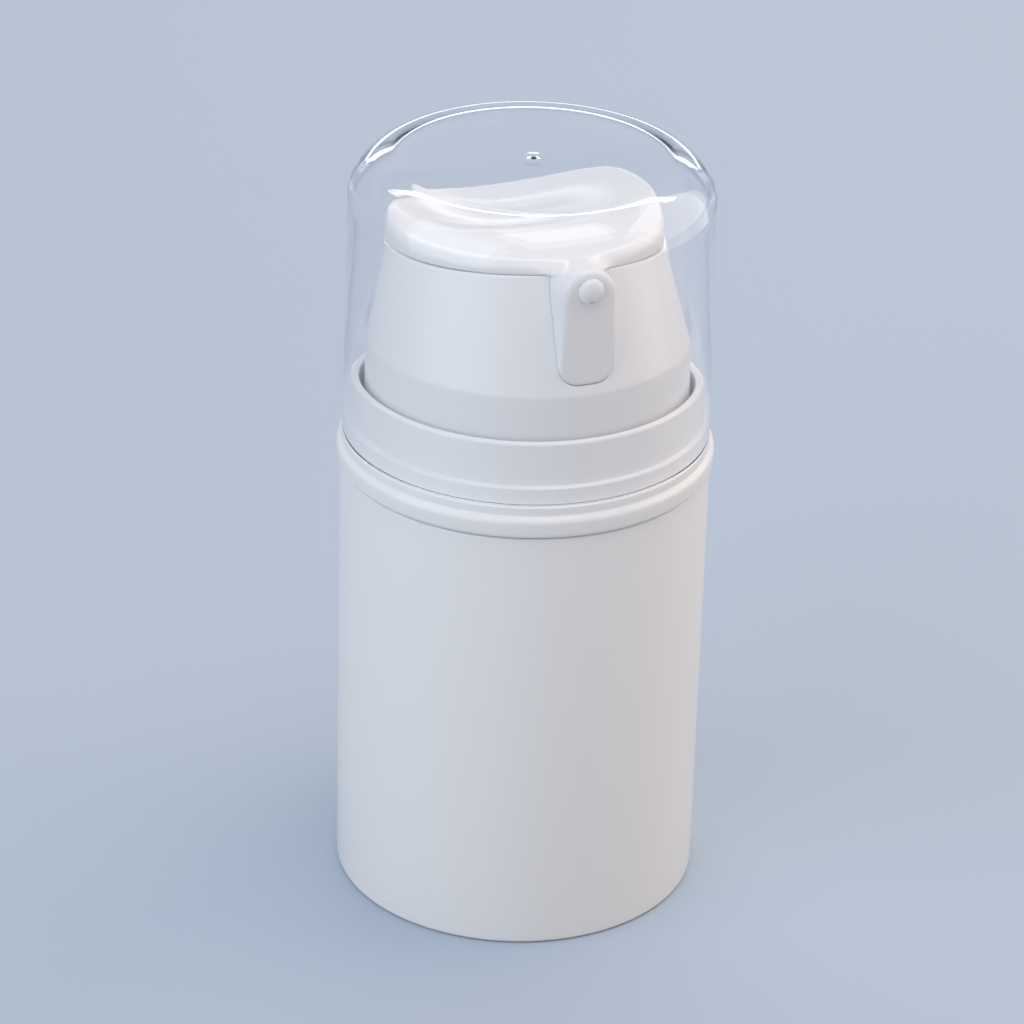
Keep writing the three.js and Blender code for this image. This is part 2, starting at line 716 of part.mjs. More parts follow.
function makeHood() {
  const rounded = (x, y, d) => {
    const over = Math.max(0, d - hoodRadius + HOOD_EDGE);
    return padAt(x, y) - HOOD_EDGE + Math.sqrt(HOOD_EDGE ** 2 - over ** 2);
  };
  const above = (rise) => (x, y) => partingAt(y) + rise;
  const underPad = (x, y) => Math.max(padAt(x, y) - HOOD_WALL, partingAt(y) - HOOD_WALL / 2);
  const fine = [0.3, 0.6, 0.85, 1 - HOOD_EDGE / hoodRadius, 1 - (0.3 * HOOD_EDGE) / hoodRadius, 1];
  const hollow = hoodSpigotRadius - HOOD_WALL;
  const lid = solid(slab(hoodRadius, fine, above(FIT_CLEARANCE), rounded));
  const envelope = solid(slab(hoodRadius, fine, () => skirtZ, rounded));
  const cavity = solid(slab(hollow, [0.35, 0.7, 1], above(-HOOD_WALL), underPad));
  const spigot = solid(slab(hoodSpigotRadius, [1], above(-HOOD_SPIGOT_DEPTH), above(2 * FIT_CLEARANCE)));
  const spigotHole = solid(slab(hollow, [1], above(-2 * HOOD_SPIGOT_DEPTH), above(2 * FIT_CLEARANCE)));

  const channel = CHANNEL_DIAMETER / 2;
  const ahead = (radius, reach) => {
    const upright = rod(radius, 0, reach, NARROW_SIDES);
    return upright.rotateX(Math.PI / 2).translate(0, 0, nozzleZ);
  };
  const socket = solid(rod(socketRadius, socketZ, hoodTopZ, NARROW_SIDES));
  const socketBore = solid(rod(stemRadius + STEM_CLEARANCE, skirtZ, stemTopZ + SEAT_GAP, NARROW_SIDES));
  const riser = solid(rod(stemBore, socketZ, nozzleZ, NARROW_SIDES));
  const pipe = solid(ahead(channel + CHANNEL_WALL, spoutReach - SPOUT_WALL));
  const pipeBore = solid(ahead(channel, spoutReach + SPOUT_WALL));

  const half = SPOUT_WIDTH / 2;
  const rear = HOOD_SETBACK - hoodRadius + 2 * HOOD_WALL;
  const spout = solid(spoutPrism(half, spoutBottomZ, spoutAxisZ, SPOUT_CORNER, -spoutReach, rear));
  const pocketHalf = half - SPOUT_WALL;
  const pocketTop = nozzleZ - channel - CHANNEL_WALL - pocketHalf;
  const pocketCorner = Math.min(SPOUT_CORNER, pocketHalf) * 0.8;
  const pocketZ = spoutBottomZ + SPOUT_WALL;
  const pocket = solid(spoutPrism(pocketHalf, pocketZ, pocketTop, pocketCorner, SPOUT_WALL - spoutReach, 0));

  const shell = lid.add(spigot).subtract(cavity).subtract(spigotHole);
  const inside = socket.add(pipe).intersect(envelope);
  const filled = shell.add(spout.subtract(pocket)).add(inside);
  return geometryOf(filled.subtract(socketBore).subtract(riser).subtract(pipeBore));
}

function makeNozzle() {
  const orifice = ORIFICE_DIAMETER / 2;
  const shank = CHANNEL_DIAMETER / 2 - SEAT_GAP;
  const dome = NOZZLE_DIAMETER / 2;
  const profile = turned(
    [
      [orifice, -NOZZLE_SHANK],
      [shank, -NOZZLE_SHANK],
      [shank, SEAT_GAP],
      [dome, SEAT_GAP],
      [dome, NOZZLE_HEIGHT, dome * 0.6],
      [orifice, NOZZLE_HEIGHT],
    ],
    NARROW_SIDES,
  );
  return profile.rotateX(Math.PI / 2).translate(0, -spoutReach, nozzleZ);
}

const white = { color: 0xeeeff2, roughness: 0.32, metalness: 0 };
const natural = { color: 0xe4e6e4, roughness: 0.4, metalness: 0 };
const soft = { color: 0xd9dcdd, roughness: 0.6, metalness: 0 };
const clear = { color: 0xe9eaf2, roughness: 0.05, metalness: 0, transparent: true, opacity: 0.25 };
const steel = { color: 0xb9bcc0, roughness: 0.3, metalness: 1 };

function piece(name, geometry, finish) {
  const mesh = new THREE.Mesh(geometry, new THREE.MeshStandardMaterial(finish));
  mesh.name = name;
  return mesh;
}

const dispenser = new THREE.Group();
dispenser.name = "airless_lotion_bottle";
dispenser.add(
  piece("overcap", makeOvercap(), clear),
  piece("actuator_hood", makeHood(), white),
  piece("actuator_skirt", makeSkirt(), white),
  piece("nozzle_tip", makeNozzle(), white),
  piece("collar", makeCollar(), white),
  piece("bottle_body", makeBody(), white),
  piece("fixing_ring", makeFixingRing(), natural),
  piece("neck_gasket", makeGasket(), soft),
  piece("pump_housing", makeHousing(), natural),
  piece("housing_turret", makeTurret(), natural),
  piece("stem", makeStem(), natural),
  piece("valve_rod", makeValveRod(), natural),
  piece("pump_piston", makePiston(), soft),
  piece("return_spring", makeSpring(), steel),
  piece("inlet_ball", makeBall(), steel),
  piece("ball_retainer", makeRetainer(), natural),
  piece("follower_piston", makeFollower(), soft),
  piece("base_plug", makePlug(), white),
);

export default dispenser;
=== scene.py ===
"""Airless lotion bottle: fine pieces, finishes and a studio, built round the bottle's solids."""

import json
import math

import bmesh
import bpy
import numpy as np
from bpy.props import FloatProperty, FloatVectorProperty, IntProperty, PointerProperty
from mathutils import Matrix, Vector


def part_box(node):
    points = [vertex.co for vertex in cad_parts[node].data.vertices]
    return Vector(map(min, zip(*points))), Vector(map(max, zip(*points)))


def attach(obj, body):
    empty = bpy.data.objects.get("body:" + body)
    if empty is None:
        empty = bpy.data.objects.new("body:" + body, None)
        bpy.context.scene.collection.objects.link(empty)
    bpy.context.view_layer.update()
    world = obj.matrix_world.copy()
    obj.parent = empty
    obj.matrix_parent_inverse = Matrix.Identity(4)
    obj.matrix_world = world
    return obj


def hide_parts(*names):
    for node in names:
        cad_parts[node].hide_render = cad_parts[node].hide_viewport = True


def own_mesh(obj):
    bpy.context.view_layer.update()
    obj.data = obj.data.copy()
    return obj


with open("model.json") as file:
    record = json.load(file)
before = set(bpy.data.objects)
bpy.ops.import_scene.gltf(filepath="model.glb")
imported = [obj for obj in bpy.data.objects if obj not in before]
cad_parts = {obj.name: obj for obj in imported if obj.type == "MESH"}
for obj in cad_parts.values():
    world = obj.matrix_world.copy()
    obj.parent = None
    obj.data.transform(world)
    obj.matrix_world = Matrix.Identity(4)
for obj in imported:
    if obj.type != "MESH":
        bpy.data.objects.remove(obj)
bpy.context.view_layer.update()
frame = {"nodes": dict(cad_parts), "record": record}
NODE_BOXES = {name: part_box(name) for name in frame["nodes"]}

bl_info = {
    "name": "Airless Lotion Bottle",
    "version": (1, 0, 0),
    "blender": (4, 5, 0),
    "location": "3D View > Sidebar > Lotion",
    "description": "Builds the pieces, finishes and studio of an airless lotion bottle with a clear overcap",
    "category": "Add Mesh",
}

MM = 0.001
SEAM = 0.15 * MM
SEAT = 0.05 * MM
SNAP = 0.25 * MM
SOFTENED = 0.3 * MM
SKIRT_LEDGE = 0.25 * MM
SKIN_DEPTH = 0.05 * MM
NOISE_MIDDLE = 0.5


def low(node):
    return NODE_BOXES[node][0]


def high(node):
    return NODE_BOXES[node][1]


def length(name, default, description):
    return FloatProperty(
        name=name, description=description, default=default, min=0.0, precision=5, unit="LENGTH", subtype="DISTANCE"
    )


def colour(name, default, description):
    return FloatVectorProperty(
        name=name, description=description, default=default, size=4, min=0.0, max=1.0, subtype="COLOR"
    )


class LotionSizes(bpy.types.PropertyGroup):
    """Sizes of the bottle's visible pieces, in metres"""

    sides: IntProperty(name="Sides", description="Sides of a turned piece", default=192, min=24, max=512)
    body_radius: length("Body radius", high("bottle_body").x, "Outside radius of the bottle")
    body_wall: length("Body wall", 1.6 * MM, "Thickness of the bottle's wall")
    body_top: length("Body top", low("collar").z - SEAM, "Height of the seam under the collar")
    foot_rounding: length("Foot rounding", 0.55 * MM, "Radius of the bottle's foot edge")
    collar_radius: length("Collar radius", high("collar").x, "Outside radius of the shoulder bead")
    collar_ledge: length("Collar ledge", low("overcap").z - 0.25 * MM, "Height of the ledge under the overcap")
    collar_rim: length("Collar rim", high("collar").z, "Height of the guide ring's rim")
    collar_rounding: length("Bead rounding", 0.8 * MM, "Radius of the bead's upper edge")
    cap_radius: length("Overcap radius", high("overcap").x, "Outside radius at the overcap's mouth")
    cap_mouth: length("Overcap mouth", low("overcap").z - 0.15 * MM, "Height of the overcap's lower edge")
    cap_top: length("Overcap top", high("overcap").z, "Height of the overcap's top")
    cap_wall: length("Overcap wall", 1.0 * MM, "Thickness of the overcap's wall")
    cap_draft: length("Overcap draft", 0.5 * MM, "Radius lost from the mouth to the top")
    cap_edge: length("Overcap edge", 5.0 * MM, "Radius of the overcap's top edge")
    cap_inner_edge: length("Overcap inner edge", 4.8 * MM, "Radius of the same edge inside")
    skirt_radius: length("Skirt radius", high("actuator_skirt").x, "Outside radius of the skirt's band")
    skirt_low: length("Skirt foot", low("actuator_skirt").z, "Height of the skirt's lower edge")
    skirt_wall: length("Skirt wall", 1.1 * MM, "Thickness of the skirt")
    band_top: length("Band top", high("collar").z + 4.9 * MM, "Height where the skirt's cone starts")
    cone_height: length("Cone height", 11.35 * MM, "Height of the skirt's cone")
    hood_radius: length("Hood radius", high("actuator_hood").x, "Radius of the pressing pad")
    hood_top: length("Hood top", high("actuator_hood").z, "Height of the pad's rim")
    scoop_depth: length("Scoop depth", 4.4 * MM, "Depth of the finger scoop at the back")
    scoop_length: length("Scoop length", 18.0 * MM, "Length over which the scoop deepens")
    spout_width: length("Spout width", 6.5 * MM, "Width of the spout's face")
    spout_corner: length("Spout corner", 2.4 * MM, "Radius of the spout's lower corners")
    spout_edge: length("Spout edge", 0.9 * MM, "Rounding round the spout's face")
    nozzle_radius: length("Nozzle radius", 1.5 * MM, "Radius of the domed outlet")


class LotionColours(bpy.types.PropertyGroup):
    """Colours of the bottle's finishes"""

    white: colour("White plastic", (0.88, 0.842, 0.835, 1.0), "Bottle, collar and actuator")
    clear: colour("Clear plastic", (0.985, 0.985, 0.995, 1.0), "Overcap")
    natural: colour("Natural plastic", (0.74, 0.75, 0.74, 1.0), "Pump mouldings")
    soft: colour("Soft plastic", (0.62, 0.65, 0.67, 1.0), "Pistons")
    gasket: colour("Gasket", (0.52, 0.52, 0.5, 1.0), "Neck gasket")
    steel: colour("Steel", (0.6, 0.61, 0.62, 1.0), "Spring and ball")
    floor: colour("Floor", (0.46, 0.55, 0.67, 1.0), "Studio floor, as it is seen")
    bounce: colour("Bounce", (0.5, 0.5, 0.5, 1.0), "Floor, as it lights the bottle")
    horizon: colour("Horizon", (0.45, 0.53, 0.64, 1.0), "Backdrop above the floor, as it is seen")


def sizes():
    return bpy.context.scene.lotion_sizes


def colours():
    return bpy.context.scene.lotion_colours


def node(tree, kind, **values):
    made = tree.nodes.new(kind)
    for key, value in values.items():
        setattr(made, key, value)
    return made


def maths(tree, operation, a, b=None, clamp=False):
    made = node(tree, "ShaderNodeMath", operation=operation, use_clamp=clamp)
    for socket, value in zip(made.inputs, (a, b)):
        if value is None:
            continue
        if isinstance(value, (int, float)):
            socket.default_value = value
        else:
            tree.links.new(value, socket)
    return made.outputs[0]


def shader_group(name, inputs, outputs):
    tree = bpy.data.node_groups.new(name, "ShaderNodeTree")
    for label, kind, value in inputs:
        tree.interface.new_socket(label, in_out="INPUT", socket_type=kind).default_value = value
    for label, kind in outputs:
        tree.interface.new_socket(label, in_out="OUTPUT", socket_type=kind)
    return tree, node(tree, "NodeGroupInput"), node(tree, "NodeGroupOutput")


def moulded_surface():
    """Colour drift, uneven sheen and fine skin texture of a moulded plastic surface"""
    name = "Moulded Surface"
    if name in bpy.data.node_groups:
        return bpy.data.node_groups[name]
    tree, given, made = shader_group(
        name,
        [
            ("Colour", "NodeSocketColor", (0.8, 0.8, 0.8, 1.0)),
            ("Colour Drift", "NodeSocketFloat", 0.03),
            ("Roughness", "NodeSocketFloat", 0.35),
            ("Sheen Drift", "NodeSocketFloat", 0.08),
            ("Patch Scale", "NodeSocketFloat", 90.0),
            ("Skin Scale", "NodeSocketFloat", 2600.0),
        ],
        [("Colour", "NodeSocketColor"), ("Roughness", "NodeSocketFloat"), ("Height", "NodeSocketFloat")],
    )
    place = node(tree, "ShaderNodeTexCoord").outputs["Object"]
    patch = node(tree, "ShaderNodeTexNoise")
    patch.inputs["Detail"].default_value = 3.0
    tree.links.new(place, patch.inputs["Vector"])
    tree.links.new(given.outputs["Patch Scale"], patch.inputs["Scale"])
    skin = node(tree, "ShaderNodeTexNoise")
    skin.inputs["Detail"].default_value = 2.0
    tree.links.new(place, skin.inputs["Vector"])
    tree.links.new(given.outputs["Skin Scale"], skin.inputs["Scale"])
    fine_share = 0.06
    swing = maths(tree, "SUBTRACT", patch.outputs["Fac"], NOISE_MIDDLE)
    shade = maths(tree, "ADD", maths(tree, "MULTIPLY", swing, given.outputs["Colour Drift"]), 1.0)
    tint = node(tree, "ShaderNodeVectorMath", operation="SCALE")
    tree.links.new(given.outputs["Colour"], tint.inputs[0])
    tree.links.new(shade, tint.inputs["Scale"])
    sheen = maths(tree, "MULTIPLY", swing, given.outputs["Sheen Drift"])
    fine = maths(tree, "MULTIPLY", maths(tree, "SUBTRACT", skin.outputs["Fac"], NOISE_MIDDLE), fine_share)
    rough = maths(tree, "ADD", maths(tree, "ADD", given.outputs["Roughness"], sheen), fine, clamp=True)
    tree.links.new(tint.outputs["Vector"], made.inputs["Colour"])
    tree.links.new(rough, made.inputs["Roughness"])
    tree.links.new(skin.outputs["Fac"], made.inputs["Height"])
    return tree


def hairlines():
    """Sparse upright hairline scratches from handling"""
    name = "Hairlines"
    if name in bpy.data.node_groups:
        return bpy.data.node_groups[name]
    tree, given, made = shader_group(
        name,
        [
            ("Density", "NodeSocketFloat", 0.2),
            ("Spread", "NodeSocketFloat", 3500.0),
            ("Stretch", "NodeSocketFloat", 90.0),
        ],
        [("Mask", "NodeSocketFloat")],
    )
    place = node(tree, "ShaderNodeTexCoord").outputs["Object"]
    scale = node(tree, "ShaderNodeCombineXYZ")
    tree.links.new(given.outputs["Spread"], scale.inputs["X"])
    tree.links.new(given.outputs["Spread"], scale.inputs["Y"])
    tree.links.new(given.outputs["Stretch"], scale.inputs["Z"])
    drawn = node(tree, "ShaderNodeVectorMath", operation="MULTIPLY")
    tree.links.new(place, drawn.inputs[0])
    tree.links.new(scale.outputs["Vector"], drawn.inputs[1])
    lines = node(tree, "ShaderNodeTexNoise")
    lines.inputs["Scale"].default_value = 1.0
    lines.inputs["Detail"].default_value = 1.0
    tree.links.new(drawn.outputs["Vector"], lines.inputs["Vector"])
    bare, contrast = 0.92, 8.0
    level = maths(tree, "SUBTRACT", bare, given.outputs["Density"])
    over = maths(tree, "SUBTRACT", lines.outputs["Fac"], level)
    tree.links.new(maths(tree, "MULTIPLY", over, contrast, clamp=True), made.inputs["Mask"])
    return tree


def new_material(name):
    """Node material with its tree and shader"""
    material = bpy.data.materials.new(name)
    material.use_nodes = True
    return material, material.node_tree, material.node_tree.nodes["Principled BSDF"]


def surface_node(tree, **values):
    """Moulded surface group with a material's own values"""
    surface = node(tree, "ShaderNodeGroup", node_tree=moulded_surface())
    for label, value in values.items():
        surface.inputs[label.replace("_", " ").title()].default_value = value
    return surface


def scratched(tree, rough, density, strength):
    """Roughness with hairlines added to it"""
    marks = node(tree, "ShaderNodeGroup", node_tree=hairlines())
    marks.inputs["Density"].default_value = density
    return maths(tree, "ADD", rough, maths(tree, "MULTIPLY", marks.outputs["Mask"], strength), clamp=True)


def finish(tree, shader, surface, rough, bump=0.0):
    """Feeds a surface's colour, roughness and skin to its shader"""
    tree.links.new(surface.outputs["Colour"], shader.inputs["Base Color"])
    tree.links.new(rough, shader.inputs["Roughness"])
    if bump:
        relief = node(tree, "ShaderNodeBump")
        relief.inputs["Strength"].default_value = bump
        relief.inputs["Distance"].default_value = SKIN_DEPTH
        tree.links.new(surface.outputs["Height"], relief.inputs["Height"])
        tree.links.new(relief.outputs["Normal"], shader.inputs["Normal"])


def plastic(name, tint, roughness, drift=0.03, sheen=0.1, skin=2600.0, bump=0.02, subsurface=0.0, lines=0.0):
    """Opaque moulded plastic: drifting tone, uneven sheen, a fine skin and hairlines"""
    if name in bpy.data.materials:
        return bpy.data.materials[name]
    material, tree, shader = new_material(name)
    surface = surface_node(
        tree, colour=tint, colour_drift=drift, roughness=roughness, sheen_drift=sheen, skin_scale=skin
    )
    rough = surface.outputs["Roughness"]
    if lines:
        rough = scratched(tree, rough, lines, 0.12)
    finish(tree, shader, surface, rough, bump)
    shader.inputs["IOR"].default_value = 1.49
    shader.inputs["Subsurface Weight"].default_value = subsurface
    shader.inputs["Subsurface Radius"].default_value = (1.0, 0.95, 0.9)
    shader.inputs["Subsurface Scale"].default_value = 2.0 * MM
    return material


def clear_plastic():
    """Polished see-through plastic with faint hairlines"""
    name = "clear_overcap"
    if name in bpy.data.materials:
        return bpy.data.materials[name]
    material, tree, shader = new_material(name)
    surface = surface_node(
        tree,
        colour=colours().clear,
        colour_drift=0.01,
        roughness=0.03,
        sheen_drift=0.02,
        patch_scale=120.0,
        skin_scale=700.0,
    )
    polish = 0.6
    rough = scratched(tree, maths(tree, "MULTIPLY", surface.outputs["Roughness"], polish), 0.22, 0.08)
    finish(tree, shader, surface, rough, 0.02)
    shader.inputs["IOR"].default_value = 1.5
    shader.inputs["Transmission Weight"].default_value = 1.0
    return material


def steel():
    """Drawn wire and ball: metal with a fine grain"""
    name = "pump_steel"
    if name in bpy.data.materials:
        return bpy.data.materials[name]
    material, tree, shader = new_material(name)
    surface = surface_node(
        tree,
        colour=colours().steel,
        colour_drift=0.15,
        roughness=0.26,
        sheen_drift=0.2,
        patch_scale=900.0,
        skin_scale=6000.0,
    )
    finish(tree, shader, surface, surface.outputs["Roughness"])
    shader.inputs["Metallic"].default_value = 1.0
    return material


def white_plastic():
    return plastic("white_plastic", colours().white, 0.34, subsurface=0.25, lines=0.16)


def natural_plastic():
    return plastic("natural_plastic", colours().natural, 0.45, drift=0.05, skin=1800.0, subsurface=0.2)


def soft_plastic():
    return plastic("soft_plastic", colours().soft, 0.55, drift=0.06, skin=1500.0, bump=0.04, subsurface=0.3)


def gasket_rubber():
    return plastic("gasket_rubber", colours().gasket, 0.7, drift=0.08, sheen=0.15, skin=3200.0, bump=0.12)


def outline(corners, fineness=9.0):
    """Corners (radius, height, rounding) with each rounded corner replaced by an arc that fits its edges"""
    share_of_edge, least = 0.48, 0.2
    points = []
    for i, (r, z, rounding) in enumerate(corners):
        here = Vector((r, z))
        if not rounding:
            points.append(here)
            continue
        before = Vector(corners[i - 1][:2]) - here
        after = Vector(corners[(i + 1) % len(corners)][:2]) - here
        half = before.angle(after) / 2
        room = share_of_edge * min(before.length, after.length)
        radius = min(rounding, room * math.tan(half))
        centre = here + (before.normalized() + after.normalized()).normalized() * radius / math.sin(half)
        start = here + before.normalized() * radius / math.tan(half) - centre
        end = here + after.normalized() * radius / math.tan(half) - centre
        turn = math.atan2(start.x * end.y - start.y * end.x, start.dot(end))
        steps = math.ceil(fineness * math.sqrt(max(radius / MM, least)))
        for k in range(steps + 1):
            cosine, sine = math.cos(turn * k / steps), math.sin(turn * k / steps)
            points.append(centre + Vector((start.x * cosine - start.y * sine, start.x * sine + start.y * cosine)))
    return points


def profile(*corners):
    """Corners in metres, each with no rounding unless it has one"""
    return [tuple(corner) if len(corner) == 3 else (*corner, 0.0) for corner in corners]


def turning_tree():
    """Geometry nodes that turn a chain of profile points about the vertical axis"""
    name = "Turned Piece"
    if name in bpy.data.node_groups:
        return bpy.data.node_groups[name]
    tree = bpy.data.node_groups.new(name, "GeometryNodeTree")
    tree.interface.new_socket("Profile", in_out="INPUT", socket_type="NodeSocketGeometry")
    tree.interface.new_socket("Sides", in_out="INPUT", socket_type="NodeSocketInt").default_value = 96
    tree.interface.new_socket("Material", in_out="INPUT", socket_type="NodeSocketMaterial")
    tree.interface.new_socket("Piece", in_out="OUTPUT", socket_type="NodeSocketGeometry")
    given = node(tree, "NodeGroupInput")
    made = node(tree, "NodeGroupOutput")
    count = node(tree, "GeometryNodeAttributeDomainSize", component="MESH")
    grid = node(tree, "GeometryNodeMeshGrid")
    tree.links.new(given.outputs["Profile"], count.inputs[0])
    tree.links.new(maths(tree, "ADD", given.outputs["Sides"], 1.0), grid.inputs["Vertices X"])
    tree.links.new(count.outputs["Point Count"], grid.inputs["Vertices Y"])
    index = node(tree, "GeometryNodeInputIndex").outputs[0]
    along = maths(tree, "MODULO", index, count.outputs["Point Count"])
    column = maths(tree, "FLOOR", maths(tree, "DIVIDE", maths(tree, "ADD", index, 0.5), count.outputs["Point Count"]))
    angle = maths(tree, "DIVIDE", maths(tree, "MULTIPLY", column, 2 * math.pi), given.outputs["Sides"])
    pick = node(tree, "GeometryNodeSampleIndex", data_type="FLOAT_VECTOR", domain="POINT")
    tree.links.new(given.outputs["Profile"], pick.inputs["Geometry"])
    tree.links.new(node(tree, "GeometryNodeInputPosition").outputs[0], pick.inputs["Value"])
    tree.links.new(along, pick.inputs["Index"])
    split = node(tree, "ShaderNodeSeparateXYZ")
    tree.links.new(pick.outputs["Value"], split.inputs[0])
    place = node(tree, "ShaderNodeCombineXYZ")
    radius = split.outputs["X"]
    tree.links.new(maths(tree, "MULTIPLY", radius, maths(tree, "COSINE", angle)), place.inputs["X"])
    tree.links.new(maths(tree, "MULTIPLY", radius, maths(tree, "SINE", angle)), place.inputs["Y"])
    tree.links.new(split.outputs["Z"], place.inputs["Z"])
    move = node(tree, "GeometryNodeSetPosition")
    tree.links.new(grid.outputs["Mesh"], move.inputs["Geometry"])
    tree.links.new(place.outputs[0], move.inputs["Position"])
    merge = node(tree, "GeometryNodeMergeByDistance")
    merge.inputs["Distance"].default_value = 1e-7
    real = node(tree, "GeometryNodeRealizeInstances")
    dress = node(tree, "GeometryNodeSetMaterial")
    tree.links.new(move.outputs[0], merge.inputs["Geometry"])
    tree.links.new(merge.outputs[0], real.inputs[0])
    tree.links.new(real.outputs[0], dress.inputs["Geometry"])
    tree.links.new(given.outputs["Material"], dress.inputs["Material"])
    tree.links.new(dress.outputs[0], made.inputs[0])
    return tree


def spring_tree():
    """Geometry nodes for a coil spring standing on a given height"""
    tree = bpy.data.node_groups.new("Coil Spring", "GeometryNodeTree")
    for label, kind, value in (
        ("Coil Radius", "NodeSocketFloat", 0.007),
        ("Wire Radius", "NodeSocketFloat", 0.0005),
        ("Turns", "NodeSocketFloat", 6.0),
        ("Bottom", "NodeSocketFloat", 0.0),
        ("Height", "NodeSocketFloat", 0.01),
    ):
        tree.interface.new_socket(label, in_out="INPUT", socket_type=kind).default_value = value
    tree.interface.new_socket("Material", in_out="INPUT", socket_type="NodeSocketMaterial")
    tree.interface.new_socket("Spring", in_out="OUTPUT", socket_type="NodeSocketGeometry")
    given = node(tree, "NodeGroupInput")
    made = node(tree, "NodeGroupOutput")
    coil = node(tree, "GeometryNodeCurveSpiral")
    coil.inputs["Resolution"].default_value = 40
    tree.links.new(given.outputs["Turns"], coil.inputs["Rotations"])
    tree.links.new(given.outputs["Coil Radius"], coil.inputs["Start Radius"])
    tree.links.new(given.outputs["Coil Radius"], coil.inputs["End Radius"])
    tree.links.new(given.outputs["Height"], coil.inputs["Height"])
    lift = node(tree, "ShaderNodeCombineXYZ")
    tree.links.new(given.outputs["Bottom"], lift.inputs["Z"])
    stand = node(tree, "GeometryNodeTransform")
    tree.links.new(coil.outputs[0], stand.inputs["Geometry"])
    tree.links.new(lift.outputs[0], stand.inputs["Translation"])
    wire = node(tree, "GeometryNodeCurvePrimitiveCircle", mode="RADIUS")
    wire.inputs["Resolution"].default_value = 14
    tree.links.new(given.outputs["Wire Radius"], wire.inputs["Radius"])
    tube = node(tree, "GeometryNodeCurveToMesh")
    tube.inputs["Fill Caps"].default_value = True
    tree.links.new(stand.outputs[0], tube.inputs["Curve"])
    tree.links.new(wire.outputs[0], tube.inputs["Profile Curve"])
    real = node(tree, "GeometryNodeRealizeInstances")
    dress = node(tree, "GeometryNodeSetMaterial")
    tree.links.new(tube.outputs[0], real.inputs[0])
    tree.links.new(real.outputs[0], dress.inputs["Geometry"])
    tree.links.new(given.outputs["Material"], dress.inputs["Material"])
    tree.links.new(dress.outputs[0], made.inputs[0])
    return tree


def run_tree(piece, tree, **values):
    """Runs a geometry node tree on a piece and leaves its result as the piece's plain mesh"""
    modifier = piece.modifiers.new(tree.name, "NODES")
    modifier.node_group = tree
    for item in tree.interface.items_tree:
        label = item.name.replace(" ", "_").lower()
        if item.in_out == "INPUT" and label in values:
            modifier[item.identifier] = values[label]
    apply_modifiers(piece)


def apply_modifiers(piece):
    bpy.context.view_layer.update()
    graph = bpy.context.evaluated_depsgraph_get()
    mesh = bpy.data.meshes.new_from_object(piece.evaluated_get(graph), depsgraph=graph)
    piece.modifiers.clear()
    piece.data = mesh
    mesh.name = piece.name


def new_piece(name, vertices=(), faces=(), edges=()):
    mesh = bpy.data.meshes.new(name)
    mesh.from_pydata(vertices, edges, faces)
    piece = bpy.data.objects.new(name, mesh)
    bpy.context.scene.collection.objects.link(piece)
    return piece


def tidy_mesh(piece, angle=28.0):
    """Faces outward, smooth shading with sharp edges past an angle"""
    shape = bmesh.new()
    shape.from_mesh(piece.data)
    bmesh.ops.dissolve_degenerate(shape, edges=shape.edges, dist=1e-8)
    if shape.calc_volume(signed=True) < 0:
        bmesh.ops.reverse_faces(shape, faces=shape.faces)
    shape.to_mesh(piece.data)
    shape.free()
    piece.data.shade_smooth()
    piece.data.set_sharp_from_angle(angle=math.radians(angle))


def turned(name, corners, material):
    points = outline(corners)
    if corners[0][0] > 0:
        points.append(points[0])
    piece = new_piece(name, [(p.x, 0.0, p.y) for p in points], edges=[(i, i + 1) for i in range(len(points) - 1)])
    run_tree(piece, turning_tree(), sides=sizes().sides, material=material)
    tidy_mesh(piece)
    return piece


def settle(piece, body, slot, *nodes):
    """Puts a finished piece on its body in place of its solids; the slot it is given is not used"""
    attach(piece, body)
    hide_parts(*nodes)


def cut(piece, tool):
    """Takes a tool's shape out of a piece"""
    modifier = piece.modifiers.new("cut", "BOOLEAN")
    modifier.operation = "DIFFERENCE"
    modifier.solver = "EXACT"
    modifier.object = tool
    apply_modifiers(piece)
    bpy.data.objects.remove(tool)


def smoothstep(value, start, end):
    share = np.clip((value - start) / (end - start), 0.0, 1.0)
    return share * share * (3 - 2 * share)


def setback():
    """How far the pad's centre stands behind the bottle's axis"""
    return high("actuator_hood").y - sizes().hood_radius


def parting_at(y):
    """Height of the leaning seam between skirt and hood"""
    s = sizes()
    tilt = 0.115
    return s.band_top + s.cone_height - tilt * y


def pad_at(x, y):
    """Height of the pad's face, which falls into the scoop towards the back"""
    s = sizes()
    level_end, spread, softness = 4.0 * MM, 0.9, 0.12
    end = high("actuator_hood").y - level_end
    share = smoothstep(y, end - s.scoop_length, end)
    across = 1 - (x / (spread * s.hood_radius)) ** 2
    return s.hood_top - s.scoop_depth * share * (across + np.hypot(across, softness)) / 2


class PieceOperator:
    bl_options = {"REGISTER", "UNDO"}


